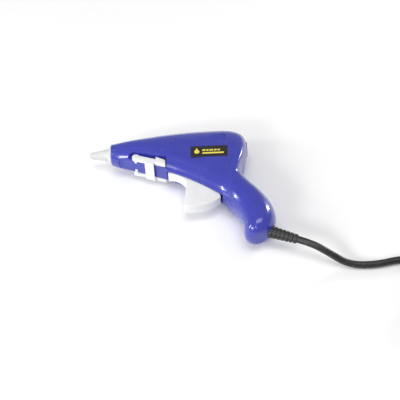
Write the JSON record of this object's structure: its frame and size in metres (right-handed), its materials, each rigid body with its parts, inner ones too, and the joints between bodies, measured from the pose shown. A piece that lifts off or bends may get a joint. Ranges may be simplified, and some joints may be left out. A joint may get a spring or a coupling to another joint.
{
  "type": "hot-melt glue gun",
  "caption": "Small pistol-shaped hot-melt glue gun lying on its side, with a sleeved nozzle, a squeeze trigger, a folding stand, a boot and a coiled cord with a two-pin plug.",
  "frame": {"origin": "on the flat of the right side, under the glue axis and in line with the trigger's pivot", "axes": "+X back along the glue axis (nozzle at -X), +Y from the grip up to the top of the barrel, +Z away from the surface that the gun lies on"},
  "size_m": [0.2925, 0.1928, 0.0281],
  "materials": {
    "body_plastic": "blue gloss moulded plastic",
    "white_plastic": "white satin moulded plastic",
    "label": "dark plate with a yellow mark",
    "zinc_steel": "bright zinc-plated steel",
    "nozzle_metal": "turned metal",
    "milky_silicone": "milky translucent silicone",
    "cast_aluminium": "satin",
    "ceramic": "dull ceramic",
    "contact_brass": "bright sheet",
    "film": "amber film",
    "spring_steel": "drawn wire",
    "red_silicone": "moulded silicone",
    "inner_plastic": "heat-resistant moulding",
    "black_rubber": "soft moulded",
    "cord_pvc": "smooth satin sheath",
    "lead_brown": "wire insulation",
    "lead_blue": "wire insulation",
    "plug_pvc": "moulded plug",
    "plated_brass": "nickel-plated pin"
  },
  "bodies": {
    "housing": {"left_shell": "body_plastic", "right_shell": "body_plastic", "label_plate": "label", "shell_screws": "zinc_steel", "nozzle": "nozzle_metal", "nozzle_cover": "milky_silicone", "melt_chamber": "cast_aluminium", "ptc_heater": "ceramic", "heater_electrodes": "contact_brass", "heater_insulation": "film", "heater_clip": "spring_steel", "inlet_sleeve": "red_silicone", "stick_guide": "inner_plastic", "return_spring": "spring_steel", "trigger_pin": "zinc_steel", "strain_relief": "black_rubber", "cord_end": "cord_pvc", "cord_clamp": "inner_plastic", "clamp_screws": "zinc_steel", "live_lead": "lead_brown", "neutral_lead": "lead_blue", "cord_lead": "cord_pvc", "cord_tail": "cord_pvc", "cord_coil": "cord_pvc", "coil_tie": "black_rubber", "plug_body": "plug_pvc", "plug_pins": "plated_brass"},
    "trigger": {"trigger": "white_plastic"},
    "feeder": {"feeder_carriage": "white_plastic"},
    "gripper": {"gripper_ring": "inner_plastic"},
    "stand": {"stand": "white_plastic"}
  },
  "joints": [
    {"name": "trigger_pull", "type": "hinge", "parent": "housing", "child": "trigger", "pos_m": [0, -0.03, 0.014], "axis": [0, 0, 1], "range_deg": [0, 17], "stiffness_Nm_per_rad": 0.5, "springref_deg": -8.59},
    {"name": "feeder_slide", "type": "slide", "parent": "housing", "child": "feeder", "axis": [-1, 0, 0], "range_m": [0, 0.0092], "deforming": ["return_spring"]},
    {"name": "gripper_tilt", "type": "hinge", "parent": "feeder", "child": "gripper", "pos_m": [0.0125, -0.0046, 0.014], "axis": [0, 0, 1], "range_deg": [0, 6.5]},
    {"name": "stand_fold", "type": "hinge", "parent": "housing", "child": "stand", "pos_m": [-0.0412, -0.0118, 0.014], "axis": [0, 0, -1], "range_deg": [0, 95]}
  ],
  "couplings": [
    {"joint": "feeder_slide", "follows": "trigger_pull", "m_per_rad": 0.03},
    {"joint": "gripper_tilt", "follows": "trigger_pull", "ratio": 0.35}
  ]
}
